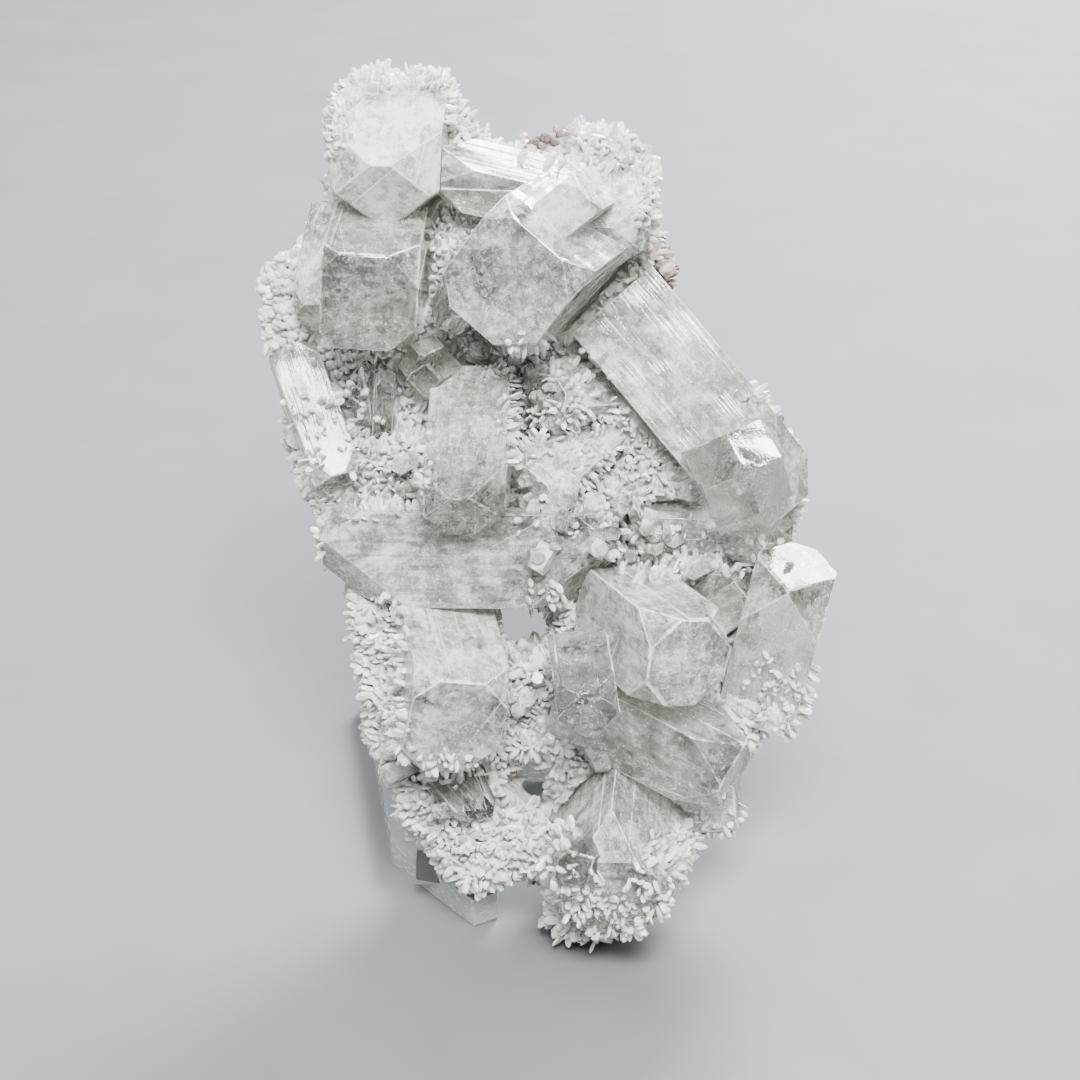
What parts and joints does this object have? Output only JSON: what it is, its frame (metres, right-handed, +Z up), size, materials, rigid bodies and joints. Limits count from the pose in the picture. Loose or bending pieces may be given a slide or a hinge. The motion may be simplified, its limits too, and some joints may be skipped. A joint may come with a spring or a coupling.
{
  "type": "apophyllite cluster on a clear stand",
  "caption": "Cabinet mineral specimen: clear to cloudy square apophyllite crystals on a plate of white druse with open holes, leaning on a clear acrylic stand with two prongs.",
  "frame": {"origin": "centre of the footprint at table level, under the stand", "axes": "+Z up, +X to the right and -Y towards the viewer of the cluster's front, which leans back 30 degrees"},
  "size_m": [0.086, 0.0804, 0.117],
  "materials": {
    "white_druse": "sugary white grains, warm cream in the hollows, pinkish brown in small spots",
    "apophyllite": "cloudy greenish white crystal with clear glossy tips",
    "clear_acrylic": "clear polished sheet with pale frosted cut edges"
  },
  "bodies": {
    "root": {"druse_crust": "white_druse", "acrylic_stand": "clear_acrylic", "crystal_top_left": "apophyllite", "crystal_upper_left": "apophyllite", "crystals_top": "apophyllite", "crystals_right": "apophyllite", "crystal_right_point": "apophyllite", "crystal_centre": "apophyllite", "crystal_crossbar": "apophyllite", "crystal_left": "apophyllite", "crystal_needles": "apophyllite", "crystals_middle": "apophyllite", "crystal_lower_left": "apophyllite", "crystal_small_prisms": "apophyllite", "crystals_lower_right": "apophyllite", "crystal_bottom": "apophyllite", "crystal_bottom_right": "apophyllite"}
  },
  "joints": []
}
